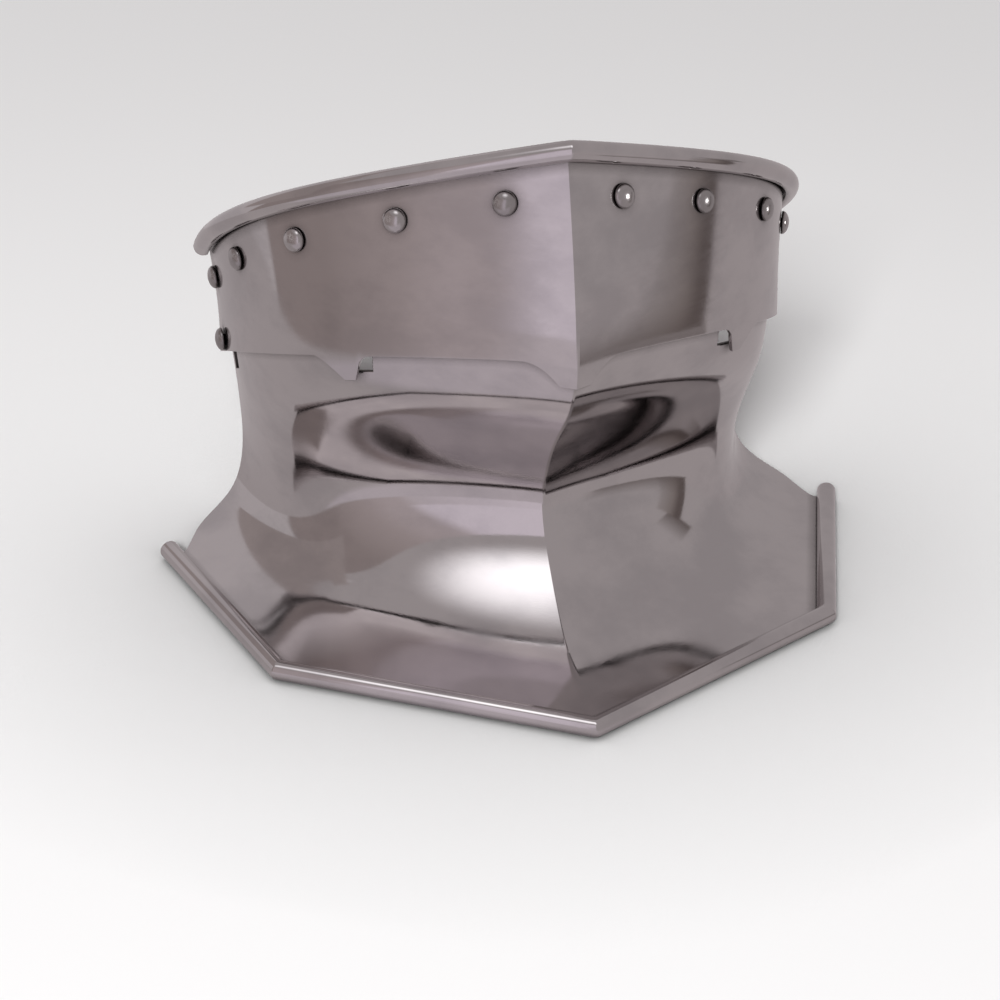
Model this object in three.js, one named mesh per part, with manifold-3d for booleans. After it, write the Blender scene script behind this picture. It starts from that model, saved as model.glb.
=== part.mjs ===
// A steel gorget of two plates, open at the back, in millimetres with +Z up.
// The wearer faces -Y and the object is the same on both sides of X = 0.
// It rests on its rolled lower edge. The origin is under the middle of its bounding box.

import * as THREE from "three";
import Module from "manifold-3d";

const wasm = await Module();
wasm.setup();

// Sheet and rolled edges
const SHEET = 1.6;
const ROLL_DIAMETER = 7.5;
const ROLL_TURN = 290;
const PLATE_CLEARANCE = 0.5;

// Rim of the chin plate. Forward and back are counted from the line between the two rear tips.
const RIM_FORWARD = 69;
const RIM_HEIGHT = 192.5;
const RIM_HALF_WIDTH = 110.5;
const RIM_BACK = 46;
const RIM_REAR_HEIGHT = 113;

// Chin, where the keel stands furthest forward above the throat
const CHIN_FORWARD = 94;
const CHIN_HEIGHT = 115;
const CHIN_HALF_WIDTH = 104.5;
const CHIN_BACK = 37;
const CHIN_REAR_HEIGHT = 62;

// Throat, the narrowest line of the lower plate
const THROAT_FORWARD = 58;
const THROAT_HEIGHT = 48;
const THROAT_HALF_WIDTH = 103;
const THROAT_BACK = 33;
const THROAT_REAR_HEIGHT = 31;

// Five-point lower edge, measured over its roll
const POINT_FORWARD = 149;
const CORNER_FORWARD = 92.5;
const CORNER_HALF_SPAN = 109;
const TIP_HALF_SPAN = 141;
const LIP_WIDTH = 5;

// Lower edge of the chin plate
const SEAM_RISE = 8.5;
const SEAM_BAND = 6;
const OVERLAP = 16;
const STAND_FRONT = 0.6;
const STAND_SIDE = 2.6;
const STAND_RUN = 34;
const KEEL_CUSP_DEPTH = 8.5;
const KEEL_CUSP_TIP = 10;
const KEEL_CUSP_FOOT = 21;
const SIDE_CUSP_DEPTH = 9;
const SIDE_CUSP_TIP = 4.5;
const SIDE_CUSP_INNER_FLANK = 5.5;
const SIDE_CUSP_OUTER_FLANK = 13;
const SIDE_CUSP_HOLLOW = 1.25;

// Slots in the throat plate, just under the chin plate
const SLOT_WIDTH = 11;
const SLOT_HEIGHT = 13;
const FRONT_SLOT_FROM_KEEL = 80;
const FRONT_SLOT_BELOW_SEAM = 7;
const REAR_SLOT_FROM_EDGE = 4;
const REAR_SLOT_BELOW_SEAM = 8;

// Rivets
const RIVET_HEAD_DIAMETER = 9;
const RIVET_HEAD_HEIGHT = 3;
const RIVET_HEAD_RIM = 0.4;
const RIVET_SHANK_DIAMETER = 4;
const RIVET_TAIL_DIAMETER = 7;
const RIVET_TAIL_HEIGHT = 1.2;
const RIVET_EASE = 0.35;
const RIVET_CLEARANCE = 0.3;
const RIM_RIVET_DROP = 14.5;
const RIM_RIVET_FIRST = 24;
const RIM_RIVET_LAST_FROM_EDGE = 8;
const RIM_RIVET_SHARES = [0, 0.27, 0.54, 0.77, 1];
const SIDE_RIVET_FROM_EDGE = 14;
const SIDE_RIVET_ABOVE_SEAM = 5;

// Fineness of the mesh
const COLUMN_STEP = 12;
const ROLL_STEPS = 8;
const CHIN_ROWS = 6;
const THROAT_ROWS = 12;
const CUSP_COLUMNS = 3;
const ROUND_SIDES = 12;
const DOME_STEPS = 4;
const LENGTH_SAMPLES_A_ROW = 24;
const SEAM_SAMPLES = 60;
const CUTTER_DEPTH = 20;
const NUDGE = 1e-4;

const STEEL = new THREE.MeshStandardMaterial({ color: 0x8f8789, roughness: 0.24, metalness: 1 });
const RIVET_STEEL = new THREE.MeshStandardMaterial({ color: 0x9a9294, roughness: 0.2, metalness: 1 });

const radians = THREE.MathUtils.degToRad;
const mix = THREE.MathUtils.lerp;
const ROLL_RADIUS = (ROLL_DIAMETER - SHEET) / 2;

// Between the named lines, a row's place is a share of the way from the line above to the line
// below: forward and back, height, and half width each have their own share.
const CHIN = {
  forward: CHIN_FORWARD,
  height: CHIN_HEIGHT,
  halfWidth: CHIN_HALF_WIDTH,
  back: CHIN_BACK,
  rearHeight: CHIN_REAR_HEIGHT,
};
const THROAT = {
  forward: THROAT_FORWARD,
  height: THROAT_HEIGHT,
  halfWidth: THROAT_HALF_WIDTH,
  back: THROAT_BACK,
  rearHeight: THROAT_REAR_HEIGHT,
};
const RIM = {
  forward: RIM_FORWARD,
  height: RIM_HEIGHT,
  halfWidth: RIM_HALF_WIDTH,
  back: RIM_BACK,
  rearHeight: RIM_REAR_HEIGHT,
};
const EDGE = {
  forward: POINT_FORWARD,
  height: SHEET,
  halfWidth: TIP_HALF_SPAN,
  back: 0,
  rearHeight: SHEET,
};

// Each row is one level line of the shell, from the keel to the rear edge. sweep and side are the
// directions of its plan in degrees at the keel and at the rear edge, reach and hold are how far it
// keeps them, as shares of its half width, and droop bends its fall to the rear.
const ROWS = [
  { above: RIM, below: CHIN, out: 0, down: 0, wide: 0, sweep: 23, side: 91, reach: 0.82, hold: 0.56, droop: 1.02 },
  { above: CHIN, below: THROAT, out: 0, down: 0, wide: 0, sweep: 31, side: 92, reach: 0.81, hold: 0.74, droop: 1.3 },
  { above: CHIN, below: THROAT, out: 0.45, down: 0.42, wide: 0.7, sweep: 29, side: 90, reach: 0.78, hold: 0.68, droop: 1.3 },
  { above: THROAT, below: EDGE, out: 0, down: 0, wide: 0, sweep: 24, side: 82, reach: 0.75, hold: 0.56, droop: 1.2 },
  { above: THROAT, below: EDGE, out: 0.29, down: 0.62, wide: 0.15, sweep: 25, side: 73, reach: 0.72, hold: 0.5, droop: 1 },
  { above: THROAT, below: EDGE, out: 0.64, down: 0.92, wide: 0.54, sweep: 27, side: 71, reach: 0.74, hold: 0.52, droop: 1 },
];

function rowSizes(row) {
  const { above, below } = row;
  return {
    forward: mix(above.forward, below.forward, row.out),
    height: mix(above.height, below.height, row.down),
    halfWidth: mix(above.halfWidth, below.halfWidth, row.wide),
    back: mix(above.back, below.back, row.wide),
    rearHeight: mix(above.rearHeight, below.rearHeight, row.down),
  };
}

// A row's line in space. u runs from 0 at the keel to 1 at the rear edge, by length in plan.
function curvedRow(row) {
  const size = rowSizes(row);
  const keel = new THREE.Vector2(0, -size.forward);
  const rear = new THREE.Vector2(size.halfWidth, size.back);
  const reach = row.reach * size.halfWidth;
  const hold = row.hold * size.halfWidth;
  const sweep = radians(row.sweep);
  const side = radians(row.side);
  const plan = new THREE.CubicBezierCurve(
    keel,
    new THREE.Vector2(reach * Math.cos(sweep), keel.y + reach * Math.sin(sweep)),
    new THREE.Vector2(rear.x - hold * Math.cos(side), rear.y - hold * Math.sin(side)),
    rear,
  );
  return (u) => {
    const point = plan.getPointAt(u);
    const share = Math.max(0, (point.y - keel.y) / (rear.y - keel.y));
    return new THREE.Vector3(point.x, point.y, mix(size.height, size.rearHeight, share ** row.droop));
  };
}

// The five-point edge in plan, moved inwards by inset: keel point, corner and tip on one side.
function edgePoints(inset) {
  const point = new THREE.Vector2(0, -POINT_FORWARD);
  const corner = new THREE.Vector2(CORNER_HALF_SPAN, -CORNER_FORWARD);
  const tip = new THREE.Vector2(TIP_HALF_SPAN, 0);
  const front = corner.clone().sub(point).normalize();
  const side = tip.clone().sub(corner).normalize();
  const turn = Math.acos(front.dot(side));
  const bisector = new THREE.Vector2(-front.y - side.y, front.x + side.x).normalize();
  return {
    point: point.add(new THREE.Vector2(0, inset / front.x)),
    corner: corner.add(bisector.multiplyScalar(inset / Math.cos(turn / 2))),
    tip: tip.add(new THREE.Vector2(-inset / side.y, 0)),
  };
}

const EDGE_LINE = edgePoints(ROLL_DIAMETER / 2);
const FRONT_SIDE_LENGTH = EDGE_LINE.point.distanceTo(EDGE_LINE.corner);
const REAR_SIDE_LENGTH = EDGE_LINE.corner.distanceTo(EDGE_LINE.tip);
const CORNER_U = FRONT_SIDE_LENGTH / (FRONT_SIDE_LENGTH + REAR_SIDE_LENGTH);

function straightRow(inset) {
  const { point, corner, tip } = edgePoints(inset);
  return (u) => {
    const plan = u < CORNER_U
      ? point.clone().lerp(corner, u / CORNER_U)
      : corner.clone().lerp(tip, (u - CORNER_U) / (1 - CORNER_U));
    return new THREE.Vector3(plan.x, plan.y, SHEET);
  };
}

const ROW_LINES = [
  ...ROWS.map(curvedRow),
  straightRow(ROLL_DIAMETER / 2 + LIP_WIDTH),
  straightRow(ROLL_DIAMETER / 2),
];
const CHIN_ROW = 1;
const LIP_ROW = ROW_LINES.length - 2;
const LAST_ROW = ROW_LINES.length - 1;

// The meridian at u: a smooth curve down the outer face of the throat plate, from the rim to the
// lower edge, that crosses row k at t = k / LAST_ROW.
const meridians = new Map();

function meridian(u) {
  if (!meridians.has(u)) {
    const curve = new THREE.CatmullRomCurve3(ROW_LINES.map((line) => line(u)), false, "centripetal");
    curve.arcLengthDivisions = LENGTH_SAMPLES_A_ROW * LAST_ROW;
    meridians.set(u, curve);
  }
  return meridians.get(u);
}

const lengthAtRow = (u, row) => meridian(u).getLengths()[LENGTH_SAMPLES_A_ROW * row];
const tAtLength = (u, length) => meridian(u).getUtoTmapping(0, Math.max(0, length));

// Local directions at a point of the shell: along the row, down the meridian and out of the face.
// miter is the normal of the plane in which the two sides meet at the keel and at the corner.
function frameAt(u, t) {
  const at = meridian(u).getPoint(t);
  const after = u < 1
    ? meridian(u + NUDGE).getPoint(t).sub(at).normalize()
    : at.clone().sub(meridian(u - NUDGE).getPoint(t)).normalize();
  const before = u > 0
    ? at.clone().sub(meridian(u - NUDGE).getPoint(t)).normalize()
    : new THREE.Vector3(after.x, -after.y, -after.z);
  const isFlat = t * LAST_ROW > LIP_ROW - NUDGE;
  const out = isFlat
    ? new THREE.Vector3(0, 0, 1)
    : meridian(u).getTangent(t).cross(after).normalize();
  return {
    at,
    along: after,
    out,
    down: after.clone().cross(out),
    miter: before.add(after).normalize(),
  };
}

// A point at an offset from the frame's own point, slid along the row into the miter plane.
function mitered(frame, offset) {
  const slide = offset.dot(frame.miter) / frame.along.dot(frame.miter);
  return frame.at.clone().add(offset).addScaledVector(frame.along, -slide);
}

// Half the length of the seam, by its row from the keel to the rear edge
function rowLength(line) {
  let length = 0;
  for (let i = 1; i <= SEAM_SAMPLES; i += 1) {
    length += line(i / SEAM_SAMPLES).distanceTo(line((i - 1) / SEAM_SAMPLES));
  }
  return length;
}

const SEAM_LENGTH = rowLength(ROW_LINES[CHIN_ROW]);
const KEEL_TIP_END = KEEL_CUSP_TIP / 2;
const SIDE_TIP_START = FRONT_SLOT_FROM_KEEL + SIDE_CUSP_INNER_FLANK;
const SIDE_TIP_END = SIDE_TIP_START + SIDE_CUSP_TIP;
const SIDE_CUSP_FOOT = SIDE_TIP_END + SIDE_CUSP_OUTER_FLANK;

// The lower edge of the chin plate, as a drop below the plain seam at a distance from the keel
function cuspDrop(distance) {
  if (distance <= KEEL_TIP_END) return KEEL_CUSP_DEPTH;
  if (distance < KEEL_CUSP_FOOT) {
    const share = (distance - KEEL_TIP_END) / (KEEL_CUSP_FOOT - KEEL_TIP_END);
    return KEEL_CUSP_DEPTH * (1 - share) ** 2;
  }
  if (distance <= FRONT_SLOT_FROM_KEEL || distance >= SIDE_CUSP_FOOT) return 0;
  if (distance < SIDE_TIP_START) {
    const share = (distance - FRONT_SLOT_FROM_KEEL) / SIDE_CUSP_INNER_FLANK;
    return SIDE_CUSP_DEPTH * (1 - Math.sqrt(1 - share ** 2));
  }
  if (distance <= SIDE_TIP_END) return SIDE_CUSP_DEPTH;
  return SIDE_CUSP_DEPTH * (1 - (distance - SIDE_TIP_END) / SIDE_CUSP_OUTER_FLANK) ** SIDE_CUSP_HOLLOW;
}

const seamAt = (u) => lengthAtRow(u, CHIN_ROW) - SEAM_RISE;

// How far the chin plate stands off the throat plate, beyond the clearance, at a length down it.
function standOff(u, length) {
  const share = Math.max(0, 1 - (seamAt(u) - length) / STAND_RUN);
  return mix(STAND_FRONT, STAND_SIDE, u ** 2) * share ** 2;
}

// Columns of the mesh: the corners of the cusps, the corner of the lower edge and an even fill.
function columnPlaces() {
  const flank = (from, to) => (
    Array.from({ length: CUSP_COLUMNS + 1 }, (_, i) => mix(from, to, i / CUSP_COLUMNS))
  );
  const marks = [
    0,
    ...flank(KEEL_TIP_END, KEEL_CUSP_FOOT),
    ...flank(FRONT_SLOT_FROM_KEEL, SIDE_TIP_START),
    ...flank(SIDE_TIP_END, SIDE_CUSP_FOOT),
    CORNER_U * SEAM_LENGTH,
    SEAM_LENGTH,
  ].sort((a, b) => a - b);
  const places = [marks[0]];
  for (const mark of marks.slice(1)) {
    const last = places[places.length - 1];
    const gap = mark - last;
    const count = Math.max(1, Math.round(gap / COLUMN_STEP));
    for (let i = 1; i <= count; i += 1) places.push(mix(last, mark, i / count));
  }
  return places.map((place) => Math.min(1, place / SEAM_LENGTH));
}

const COLUMNS = columnPlaces();

// Both faces of a rolled edge, from the sheet's edge round to the end of the curl.
function rollFaces(frame, outerOffset, beyond) {
  const faces = [];
  const centre = outerOffset - SHEET / 2 + ROLL_RADIUS;
  for (let step = 1; step <= ROLL_STEPS; step += 1) {
    const angle = radians((ROLL_TURN * step) / ROLL_STEPS);
    const place = (radius) => frame.out.clone()
      .multiplyScalar(centre - radius * Math.cos(angle))
      .addScaledVector(beyond, radius * Math.sin(angle));
    faces.push({
      outer: mitered(frame, place(ROLL_RADIUS - SHEET / 2)),
      inner: mitered(frame, place(ROLL_RADIUS + SHEET / 2)),
    });
  }
  return faces;
}

function sheetFaces(frame, outerOffset) {
  return {
    outer: mitered(frame, frame.out.clone().multiplyScalar(outerOffset)),
    inner: mitered(frame, frame.out.clone().multiplyScalar(outerOffset - SHEET)),
  };
}

function chinColumn(u) {
  const plain = seamAt(u) - SEAM_BAND;
  const end = seamAt(u) + cuspDrop(u * SEAM_LENGTH);
  const rim = frameAt(u, 0);
  const faces = rollFaces(rim, PLATE_CLEARANCE + SHEET, rim.down.clone().negate()).reverse();
  for (let row = 0; row <= CHIN_ROWS; row += 1) {
    const length = row < CHIN_ROWS ? (plain * row) / (CHIN_ROWS - 1) : end;
    const offset = PLATE_CLEARANCE + standOff(u, length) + SHEET;
    faces.push(sheetFaces(frameAt(u, tAtLength(u, length)), offset));
  }
  return faces;
}

function throatColumn(u) {
  const start = seamAt(u) - OVERLAP;
  const lip = lengthAtRow(u, LIP_ROW);
  const faces = [];
  for (let row = 0; row <= THROAT_ROWS; row += 1) {
    const t = row < THROAT_ROWS
      ? tAtLength(u, mix(start, lip, row / THROAT_ROWS))
      : LIP_ROW / LAST_ROW;
    faces.push(sheetFaces(frameAt(u, t), 0));
  }
  const edge = frameAt(u, 1);
  faces.push(sheetFaces(edge, 0));
  faces.push(...rollFaces(edge, 0, edge.down));
  return faces;
}

// A plate of one thickness, from the faces of its columns, mirrored to the other side.
function plateSolid(columnFaces) {
  const flip = ({ outer, inner }) => ({
    outer: outer.clone().setX(-outer.x),
    inner: inner.clone().setX(-inner.x),
  });
  const right = COLUMNS.map(columnFaces);
  right[0].forEach(({ outer, inner }) => {
    outer.x = 0;
    inner.x = 0;
  });
  const grid = [...right.slice(1).reverse().map((column) => column.map(flip)), ...right];
  const last = { column: grid.length - 1, row: grid[0].length - 1 };
  const positions = [];
  grid.forEach((column) => column.forEach(({ outer, inner }) => {
    positions.push(...outer.toArray(), ...inner.toArray());
  }));
  const index = [];
  const corner = (column, row, face) => 2 * (column * (last.row + 1) + row) + face;
  const quad = (a, b, c, d) => index.push(a, b, c, a, c, d);
  for (let i = 0; i < last.column; i += 1) {
    for (let j = 0; j < last.row; j += 1) {
      quad(corner(i, j, 0), corner(i, j + 1, 0), corner(i + 1, j + 1, 0), corner(i + 1, j, 0));
      quad(corner(i, j, 1), corner(i + 1, j, 1), corner(i + 1, j + 1, 1), corner(i, j + 1, 1));
    }
    quad(corner(i, 0, 0), corner(i + 1, 0, 0), corner(i + 1, 0, 1), corner(i, 0, 1));
    quad(corner(i, last.row, 0), corner(i, last.row, 1), corner(i + 1, last.row, 1), corner(i + 1, last.row, 0));
  }
  for (let j = 0; j < last.row; j += 1) {
    quad(corner(0, j, 0), corner(0, j, 1), corner(0, j + 1, 1), corner(0, j + 1, 0));
    quad(
      corner(last.column, j, 0),
      corner(last.column, j + 1, 0),
      corner(last.column, j + 1, 1),
      corner(last.column, j, 1),
    );
  }
  return toManifold(positions, index);
}

function toManifold(positions, index) {
  const mesh = new wasm.Mesh({
    numProp: 3,
    vertProperties: new Float32Array(positions),
    triVerts: new Uint32Array(index),
  });
  mesh.merge();
  return new wasm.Manifold(mesh);
}

function cutterSolid(geometry, matrix) {
  const placed = geometry.clone().applyMatrix4(matrix);
  return toManifold(placed.attributes.position.array, placed.index.array);
}

function meshFromManifold(solid) {
  const { numProp, vertProperties, triVerts } = solid.getMesh();
  const geometry = new THREE.BufferGeometry();
  const positions = new Float32Array((vertProperties.length / numProp) * 3);
  for (let i = 0; i < positions.length / 3; i += 1) {
    positions.set(vertProperties.subarray(i * numProp, i * numProp + 3), i * 3);
  }
  geometry.setAttribute("position", new THREE.BufferAttribute(positions, 3));
  geometry.setIndex(new THREE.BufferAttribute(new Uint32Array(triVerts), 1));
  geometry.computeVertexNormals();
  return geometry;
}

function frameOnSeam(distanceFromKeel, belowSeam) {
  const u = distanceFromKeel / SEAM_LENGTH;
  return frameAt(u, tAtLength(u, seamAt(u) + belowSeam));
}

// A point of the chin plate's outer face
function chinFacePoint(u, length) {
  const frame = frameAt(u, tAtLength(u, length));
  return frame.at.addScaledVector(frame.out, PLATE_CLEARANCE + standOff(u, length) + SHEET);
}

// The direction out of the chin plate's face, which leans out a little near its lower edge
function chinFaceOut(u, length) {
  const down = chinFacePoint(u, length + 1).sub(chinFacePoint(u, length - 1));
  const along = chinFacePoint(u + NUDGE, length).sub(chinFacePoint(u - NUDGE, length));
  return down.cross(along).normalize();
}

// Rivet places on one side: five under the rim, then one through both plates. A rivet stands on
// the chin plate's face at seat, square to the mean of the faces that it holds, and lean is the
// angle that is left between it and each face.
function rivetPlaces() {
  const places = [];
  const lastOnRim = SEAM_LENGTH - RIM_RIVET_LAST_FROM_EDGE;
  RIM_RIVET_SHARES.forEach((share, i) => {
    const u = mix(RIM_RIVET_FIRST, lastOnRim, share) / SEAM_LENGTH;
    const out = chinFaceOut(u, RIM_RIVET_DROP);
    const seat = chinFacePoint(u, RIM_RIVET_DROP);
    places.push({ name: "rim_rivet", number: `_${i + 1}`, seat, out, lean: 0, stack: SHEET });
  });
  const u = 1 - SIDE_RIVET_FROM_EDGE / SEAM_LENGTH;
  const length = seamAt(u) - SIDE_RIVET_ABOVE_SEAM;
  const throatOut = frameAt(u, tAtLength(u, length)).out;
  const out = chinFaceOut(u, length);
  const lean = out.angleTo(throatOut) / 2;
  const stack = SHEET + PLATE_CLEARANCE + standOff(u, length) + SHEET;
  out.add(throatOut).normalize();
  places.push({ name: "side_rivet", number: "", seat: chinFacePoint(u, length), out, lean, stack });
  return places;
}

// A dome-headed rivet on the Y axis. Its head lies just over y = 0 and its tail just under the
// stack of sheets, each with room for its lean.
function rivetGeometry({ stack, lean }) {
  const headRadius = RIVET_HEAD_DIAMETER / 2;
  const shankRadius = RIVET_SHANK_DIAMETER / 2;
  const tailRadius = RIVET_TAIL_DIAMETER / 2;
  const headBase = RIVET_CLEARANCE + headRadius * Math.sin(lean);
  const tailTop = -stack - RIVET_CLEARANCE - tailRadius * Math.sin(lean);
  const tailBottom = tailTop - RIVET_TAIL_HEIGHT;
  const dome = Array.from({ length: DOME_STEPS }, (_, i) => {
    const angle = radians((90 * i) / DOME_STEPS);
    return new THREE.Vector2(
      headRadius * Math.cos(angle),
      headBase + mix(RIVET_HEAD_RIM, RIVET_HEAD_HEIGHT, Math.sin(angle)),
    );
  });
  return new THREE.LatheGeometry([
    new THREE.Vector2(0, tailBottom),
    new THREE.Vector2(tailRadius - 2 * RIVET_EASE, tailBottom),
    new THREE.Vector2(tailRadius, tailTop - RIVET_TAIL_HEIGHT / 2),
    new THREE.Vector2(tailRadius - RIVET_EASE, tailTop),
    new THREE.Vector2(shankRadius, tailTop),
    new THREE.Vector2(shankRadius, headBase),
    new THREE.Vector2(headRadius - RIVET_EASE, headBase),
    ...dome,
    new THREE.Vector2(0, headBase + RIVET_HEAD_HEIGHT),
  ], ROUND_SIDES);
}

const mirrored = (vector) => vector.clone().setX(-vector.x);

// Puts a shape that stands on the Y axis at a rivet's seat.
function seatShape(object, place, side) {
  const flip = side === "left" ? mirrored : (vector) => vector.clone();
  object.position.copy(flip(place.seat));
  object.quaternion.setFromUnitVectors(new THREE.Vector3(0, 1, 0), flip(place.out));
  object.updateMatrix();
  return object;
}

function rivetMesh(place, side) {
  const mesh = new THREE.Mesh(rivetGeometry(place), RIVET_STEEL);
  mesh.name = `${place.name}_${side}${place.number}`;
  return seatShape(mesh, place, side);
}

function holeCutter(place, side) {
  const radius = RIVET_SHANK_DIAMETER / 2 + RIVET_CLEARANCE;
  const hole = new THREE.CylinderGeometry(radius, radius, CUTTER_DEPTH, ROUND_SIDES);
  return cutterSolid(hole, seatShape(new THREE.Object3D(), place, side).matrix);
}

// Slot cutters, in places counted from the keel: the front slot beside its cusp and the rear slot.
function slotCutters() {
  const slot = new THREE.BoxGeometry(SLOT_WIDTH, CUTTER_DEPTH, SLOT_HEIGHT);
  const rearMiddle = SEAM_LENGTH - REAR_SLOT_FROM_EDGE - SLOT_WIDTH / 2;
  const slots = [
    { distance: FRONT_SLOT_FROM_KEEL + SLOT_WIDTH / 2, below: FRONT_SLOT_BELOW_SEAM },
    { distance: rearMiddle, below: REAR_SLOT_BELOW_SEAM },
  ];
  return slots.flatMap(({ distance, below }) => {
    const frame = frameOnSeam(distance, below - SLOT_HEIGHT / 2);
    return [1, -1].map((side) => {
      const along = frame.along.clone().setX(frame.along.x * side).multiplyScalar(side);
      const out = frame.out.clone().setX(frame.out.x * side);
      const matrix = new THREE.Matrix4().makeBasis(along, out, along.clone().cross(out));
      return cutterSolid(slot, matrix.setPosition(frame.at.x * side, frame.at.y, frame.at.z));
    });
  });
}

function plateMesh(name, columnFaces, cutters) {
  const solid = cutters.reduce((rest, cutter) => rest.subtract(cutter), plateSolid(columnFaces));
  const mesh = new THREE.Mesh(meshFromManifold(solid), STEEL);
  mesh.name = name;
  return mesh;
}

const SIDES = ["left", "right"];
const rivets = rivetPlaces();
const sideRivets = rivets.filter(({ name }) => name === "side_rivet");
const holesFor = (places) => SIDES.flatMap((side) => places.map((place) => holeCutter(place, side)));

const gorget = new THREE.Group();
gorget.add(plateMesh("chin_plate", chinColumn, holesFor(rivets)));
gorget.add(plateMesh("throat_plate", throatColumn, [...holesFor(sideRivets), ...slotCutters()]));
for (const side of SIDES) {
  for (const place of rivets) gorget.add(rivetMesh(place, side));
}

// The origin goes under the middle of the box.
gorget.updateMatrixWorld(true);
const middle = new THREE.Box3().setFromObject(gorget, true).getCenter(new THREE.Vector3());
gorget.position.y = -middle.y;

export default gorget;
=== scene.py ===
# %% [markdown]
# # A polished steel gorget
# A gorget guards the neck. This one is two plates of sheet steel: a chin plate with a rolled rim,
# riveted over a throat plate that flares to a pointed collar. Polished steel is mostly a mirror, so
# this lesson spends its care on smooth surfaces, on the finish and on what the steel has to
# reflect. The imported CAD model comes first, as a fixed frame.

# %% Open the frame
import bmesh
import bpy
import math
import numpy as np
from mathutils import Matrix, Vector


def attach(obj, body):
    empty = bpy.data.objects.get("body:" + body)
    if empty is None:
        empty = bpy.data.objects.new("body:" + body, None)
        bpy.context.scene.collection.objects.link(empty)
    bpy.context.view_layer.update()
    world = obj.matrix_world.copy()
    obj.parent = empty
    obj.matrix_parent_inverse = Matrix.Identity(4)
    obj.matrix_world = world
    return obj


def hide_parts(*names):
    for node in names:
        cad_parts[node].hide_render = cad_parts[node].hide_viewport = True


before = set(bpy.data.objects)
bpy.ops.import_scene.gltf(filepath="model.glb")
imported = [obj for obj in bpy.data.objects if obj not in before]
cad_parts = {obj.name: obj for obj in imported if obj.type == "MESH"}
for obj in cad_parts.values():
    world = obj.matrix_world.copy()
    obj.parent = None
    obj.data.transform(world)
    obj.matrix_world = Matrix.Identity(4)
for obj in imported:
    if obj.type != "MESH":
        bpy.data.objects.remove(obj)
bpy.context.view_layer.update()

scene = bpy.context.scene

# %% [markdown]
# ## The camera
# The photograph looks down on the gorget, from a little to the wearer's right. A camera can be
# placed by hand, or by angles. Angles are used here, because they can be read off the object: how
# far round it the viewer stands, how far above it, and how much the picture leans.

# %% Place the camera
VIEW_AZIMUTH = 13.5
VIEW_ELEVATION = 30.864
VIEW_ROLL = 1.977
CAMERA_PLACE = (-0.1978, -0.7606, 0.5114)
CAMERA_LENS = 86.4
CAMERA_SENSOR = 36
CAMERA_SEES_TO = 50


def viewing_axes(azimuth, elevation, roll):
    """Right, up and forward of a camera that stands at these angles in degrees."""
    azimuth, elevation, roll = (math.radians(angle) for angle in (azimuth, elevation, roll))
    forward = Vector((
        math.sin(azimuth) * math.cos(elevation),
        math.cos(azimuth) * math.cos(elevation),
        -math.sin(elevation),
    ))
    level = Vector((math.cos(azimuth), -math.sin(azimuth), 0))
    above = level.cross(forward)
    right = level * math.cos(roll) + above * math.sin(roll)
    return right, right.cross(forward), forward


right, up, forward = viewing_axes(VIEW_AZIMUTH, VIEW_ELEVATION, VIEW_ROLL)
camera = bpy.data.objects.new("camera", bpy.data.cameras.new("camera"))
scene.collection.objects.link(camera)
turn = Matrix((right, up, -forward)).transposed().to_4x4()
camera.matrix_world = Matrix.Translation(CAMERA_PLACE) @ turn
camera.data.lens = CAMERA_LENS
camera.data.sensor_width = CAMERA_SENSOR
camera.data.clip_end = CAMERA_SEES_TO
scene.camera = camera
print("The camera stands", round(Vector(CAMERA_PLACE).length, 3), "m from the origin")

# %% [markdown]
# ## The sizes
# An armourer starts from a few measures: the rim, the chin, the throat and the collar, each with
# its height and its reach to the front, side and back. The same measures in millimetres drive the
# solid model, so they are written once here and the polished plates land where the solids are.
# Forward and back are counted from the line between the collar's two rear tips.

# %% Sizes of the plates in millimetres
SHEET = 1.6
ROLL_DIAMETER = 7.5
ROLL_TURN_DEGREES = 290
PLATE_CLEARANCE = 0.5
RIM = {"forward": 69, "height": 192.5, "half_width": 110.5, "back": 46, "rear_height": 113}
CHIN = {"forward": 94, "height": 115, "half_width": 104.5, "back": 37, "rear_height": 62}
THROAT = {"forward": 58, "height": 48, "half_width": 103, "back": 33, "rear_height": 31}
EDGE = {"forward": 149, "height": SHEET, "half_width": 141, "back": 0, "rear_height": SHEET}
CORNER_FORWARD = 92.5
CORNER_HALF_SPAN = 109
LIP_WIDTH = 5

# The lower edge of the chin plate and the slots under it
SEAM_RISE = 8.5
SEAM_BAND = 6
OVERLAP = 16
STAND_FRONT = 0.6
STAND_SIDE = 2.6
STAND_RUN = 34
KEEL_CUSP = {"depth": 8.5, "tip": 10, "foot": 21}
SIDE_CUSP = {"depth": 9, "tip": 4.5, "inner_flank": 5.5, "outer_flank": 13, "hollow": 1.25}
SLOT_WIDTH = 11
SLOT_HEIGHT = 13
FRONT_SLOT = {"from_keel": 80, "below_seam": 7}
REAR_SLOT = {"from_edge": 4, "below_seam": 8}

ROLL_RADIUS = (ROLL_DIAMETER - SHEET) / 2
MM = 0.001
print("Rim", 2 * RIM["half_width"], "mm wide, collar", 2 * EDGE["half_width"], "mm wide")

# %% [markdown]
# ## The surface
# Both plates follow one surface. It could be sculpted, or cut from subdivided boxes, but a polished
# plate shows every dent of a mesh as a kink in its reflections. So the surface is worked out by
# formula: a few level lines run from the keel to the rear edge, and smooth curves cross them from
# the rim to the collar. A cubic spline with continuous bending carries the reflections without a
# break. One side is worked out, and the other is its mirror image.

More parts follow.
